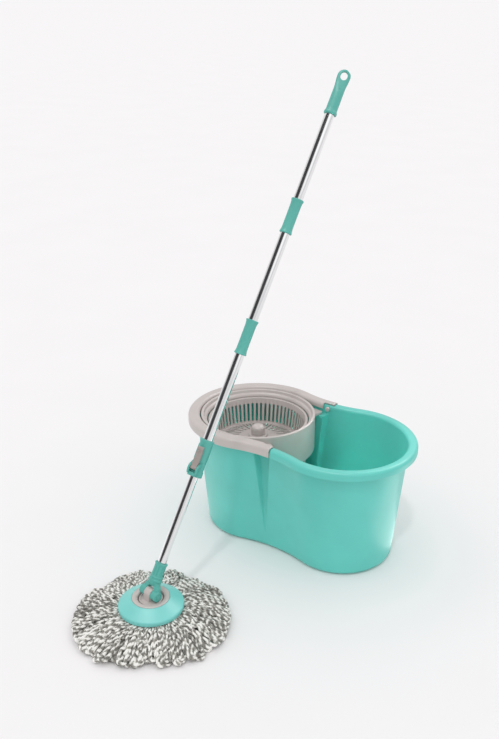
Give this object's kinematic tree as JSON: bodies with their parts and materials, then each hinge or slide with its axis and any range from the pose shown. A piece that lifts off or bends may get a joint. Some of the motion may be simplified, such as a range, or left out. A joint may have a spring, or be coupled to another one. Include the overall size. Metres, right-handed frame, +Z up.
{
  "type": "spin mop",
  "caption": "Spin mop set: two-lobed bucket with lift handle and spinning wringer basket, and a telescopic pole with a tilting round yarn head.",
  "frame": {"origin": "on the floor under the middle of the bucket, halfway between the two lobe centres, on the bucket's flat base", "axes": "+Z up, +X along the bucket from the wringer lobe to the water lobe, +Y from the side where the mop head stands to the far side"},
  "size_m": [0.5194, 0.7283, 0.9732],
  "materials": {
    "teal_plastic": "semi-gloss moulded polypropylene",
    "grey_plastic": "satin moulded polypropylene, warm light grey",
    "chrome_tube": "polished plated steel tube",
    "steel": "plain steel",
    "white_nylon": "plain white nylon",
    "yarn": "twisted microfibre yarn loops, white and grey"
  },
  "bodies": {
    "bucket": {"bucket_shell": "teal_plastic", "wringer_frame": "grey_plastic", "wringer_cradle": "grey_plastic", "basket_spindle": "steel", "thrust_washer": "white_nylon"},
    "handle": {"carry_handle": "grey_plastic", "handle_pin_near": "grey_plastic", "handle_pin_far": "grey_plastic"},
    "basket": {"spin_basket": "grey_plastic", "basket_floor": "grey_plastic", "basket_hub_cap": "grey_plastic", "basket_bush": "white_nylon"},
    "upper_pole": {"hang_cap": "teal_plastic", "pole_tube_top": "chrome_tube", "pole_tube_middle": "chrome_tube", "pole_tube_lower": "chrome_tube", "pole_connector_upper": "teal_plastic", "pole_connector_lower": "teal_plastic", "joint_plug_upper": "white_nylon", "joint_plug_lower": "white_nylon", "twist_rod": "steel", "rod_anchor": "white_nylon", "rod_end_stop": "steel", "lock_collar": "teal_plastic", "lever_pin": "steel"},
    "lever": {"lock_lever": "grey_plastic"},
    "guide": {"guide_bush": "white_nylon"},
    "lower_pole": {"inner_tube": "chrome_tube", "drive_nut": "white_nylon", "head_yoke": "teal_plastic", "yoke_pin": "steel"},
    "mop_head": {"head_lug": "grey_plastic", "mop_disc": "teal_plastic", "disc_ring": "grey_plastic", "retaining_plate": "grey_plastic", "retainer_screw_1": "steel", "retainer_screw_2": "steel", "retainer_screw_3": "steel", "refill_ring": "white_nylon", "mop_strands": "yarn"}
  },
  "joints": [
    {"name": "handle_hinge", "type": "hinge", "parent": "bucket", "child": "handle", "pos_m": [0.002, 0, 0.254], "axis": [0, 1, 0], "range_deg": [0, 90]},
    {"name": "basket_spin", "type": "hinge", "parent": "bucket", "child": "basket", "pos_m": [-0.108, 0, 0.2], "axis": [0, 0, 1], "continuous": true},
    {"name": "mop_lift", "type": "slide", "parent": "bucket", "child": "upper_pole", "axis": [0, 0, 1], "range_m": [0, 0.35]},
    {"name": "lever_hinge", "type": "hinge", "parent": "upper_pole", "child": "lever", "pos_m": [-0.03097, -0.31788, 0.2923], "axis": [0.9739, 0.1485, -0.1718], "range_deg": [0, 110]},
    {"name": "pump_slide", "type": "slide", "parent": "upper_pole", "child": "guide", "axis": [0.0768, 0.4964, 0.8647], "range_m": [0, 0.15]},
    {"name": "pole_spin", "type": "hinge", "parent": "guide", "child": "lower_pole", "pos_m": [-0.054, -0.4275, 0.067], "axis": [0.0768, 0.4964, 0.8647], "range_deg": [0, 720]},
    {"name": "head_hinge", "type": "hinge", "parent": "lower_pole", "child": "mop_head", "pos_m": [-0.054, -0.4275, 0.067], "axis": [0.9882, -0.153, 0], "range_deg": [-100, 40]}
  ],
  "couplings": [
    {"joint": "pole_spin", "follows": "pump_slide", "rad_per_m": 83.776}
  ]
}
